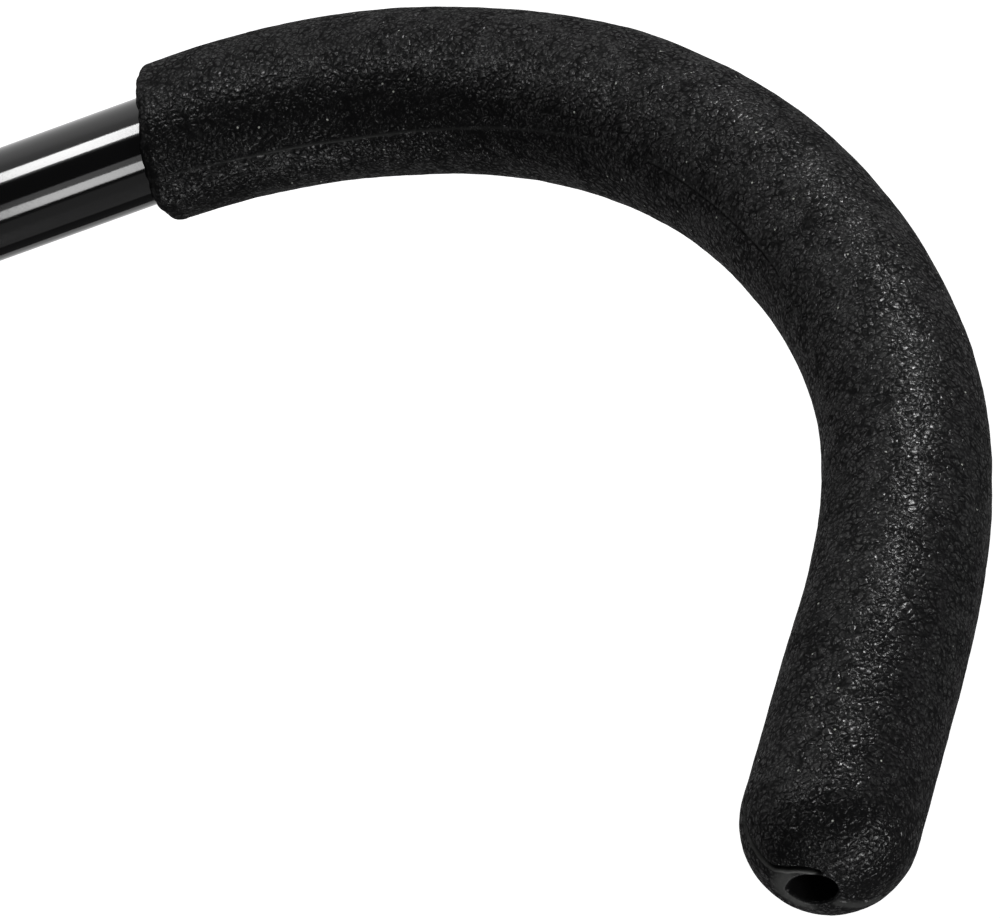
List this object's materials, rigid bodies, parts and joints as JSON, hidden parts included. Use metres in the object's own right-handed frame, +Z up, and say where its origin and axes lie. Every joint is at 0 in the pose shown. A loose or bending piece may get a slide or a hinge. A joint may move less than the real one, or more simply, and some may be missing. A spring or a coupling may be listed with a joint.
{
  "type": "bicycle storage hook",
  "caption": "Screw-in wall hook for hanging a bicycle by its wheel: a bent black steel bar with a wood-screw end and a soft black sleeve over the hook.",
  "frame": {"origin": "where the bar's centre line passes through the wall's face, at the start of the plain bar", "axes": "+Y into the wall along the screw, +Z up, +X sideways; the hook lies in the plane X = 0 and its tip points up in front of the wall"},
  "size_m": [0.0152, 0.1581, 0.1172],
  "materials": {
    "black_enamel": "gloss",
    "soft_black": "matte"
  },
  "bodies": {
    "root": {"hook_rod": "black_enamel", "grip_sleeve": "soft_black"}
  },
  "joints": []
}
